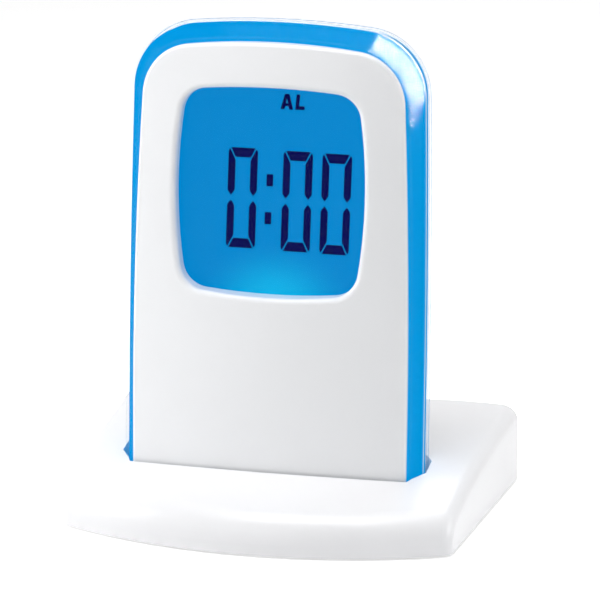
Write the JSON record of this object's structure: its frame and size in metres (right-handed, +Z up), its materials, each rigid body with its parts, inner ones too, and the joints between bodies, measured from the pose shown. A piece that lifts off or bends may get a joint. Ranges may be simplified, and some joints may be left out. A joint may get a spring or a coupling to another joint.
{
  "type": "desk clock",
  "caption": "Upright digital desk clock: a slim display head with a lit frame stands in the socket of a low moulded base.",
  "frame": {"origin": "middle of the base, at the height of the rubber feet's soles", "axes": "+Z up, -Y towards the viewer of the display, +X to the viewer's right"},
  "size_m": [0.0918, 0.0744, 0.1111],
  "materials": {
    "shell_white": "glossy moulded plastic",
    "cover_white": "glossy moulded plastic",
    "frame_blue": "translucent moulded plastic",
    "clear_skin": "clear moulded plastic, polished",
    "clear_window": "clear plastic, polished",
    "display_glass": "display glass with polarisers",
    "clear_guide": "clear acrylic",
    "white_film": "matt white film",
    "holder_white": "matt moulded plastic",
    "lamp_blue": "small lamp package",
    "board_green": "solder-masked board",
    "rubber_grey": "silicone rubber",
    "foot_rubber": "matt rubber",
    "resin_black": "cured resin",
    "case_steel": "drawn steel can",
    "switch_black": "moulded plastic",
    "button_white": "glossy moulded plastic",
    "knob_black": "moulded plastic",
    "cell_label": "printed steel can",
    "contact_nickel": "nickel-plated spring steel",
    "lead_red": "insulated wire",
    "screw_zinc": "zinc-plated steel"
  },
  "bodies": {
    "base": {"base_shell": "shell_white", "base_plate": "shell_white", "base_screws": "screw_zinc", "rubber_foot_front_left": "foot_rubber", "rubber_foot_front_right": "foot_rubber", "rubber_foot_back_left": "foot_rubber", "rubber_foot_back_right": "foot_rubber"},
    "head": {"front_cover": "cover_white", "light_frame": "frame_blue", "clear_shell": "clear_skin", "display_window": "clear_window", "lcd_glass": "display_glass", "lcd_holder": "holder_white", "light_guide": "clear_guide", "reflector_sheet": "white_film", "backlight_led": "lamp_blue", "zebra_strip": "rubber_grey", "circuit_board": "board_green", "frame_leds": "lamp_blue", "chip_blob": "resin_black", "quartz_crystal": "case_steel", "buzzer": "switch_black", "button_switches": "switch_black", "light_switch_body": "case_steel", "rear_cover": "cover_white", "battery_cell_1": "cell_label", "battery_cell_2": "cell_label", "battery_contacts": "contact_nickel", "battery_leads": "lead_red", "case_screws": "screw_zinc"},
    "light_knob": {"light_switch_knob": "knob_black"},
    "door": {"battery_door": "cover_white"},
    "button_mode_cap": {"button_mode": "button_white"},
    "button_set_cap": {"button_set": "button_white"},
    "button_up_cap": {"button_up": "button_white"},
    "button_down_cap": {"button_down": "button_white"}
  },
  "joints": [
    {"name": "head_lift", "type": "slide", "parent": "base", "child": "head", "axis": [0, 0.0523, 0.9986], "range_m": [0, 0.03]},
    {"name": "press_mode", "type": "slide", "parent": "head", "child": "button_mode_cap", "axis": [0, -0.9986, 0.0523], "range_m": [0, 0.0005], "stiffness_N_per_m": 800},
    {"name": "press_set", "type": "slide", "parent": "head", "child": "button_set_cap", "axis": [0, -0.9986, 0.0523], "range_m": [0, 0.0005], "stiffness_N_per_m": 800},
    {"name": "press_up", "type": "slide", "parent": "head", "child": "button_up_cap", "axis": [0, -0.9986, 0.0523], "range_m": [0, 0.0005], "stiffness_N_per_m": 800},
    {"name": "press_down", "type": "slide", "parent": "head", "child": "button_down_cap", "axis": [0, -0.9986, 0.0523], "range_m": [0, 0.0005], "stiffness_N_per_m": 800},
    {"name": "light_slide", "type": "slide", "parent": "head", "child": "light_knob", "axis": [1, 0, 0], "range_m": [0, 0.003]},
    {"name": "door_hinge", "type": "hinge", "parent": "head", "child": "door", "pos_m": [0, 0.00128, 0.01825], "axis": [-1, 0, 0], "range_deg": [0, 45]}
  ]
}
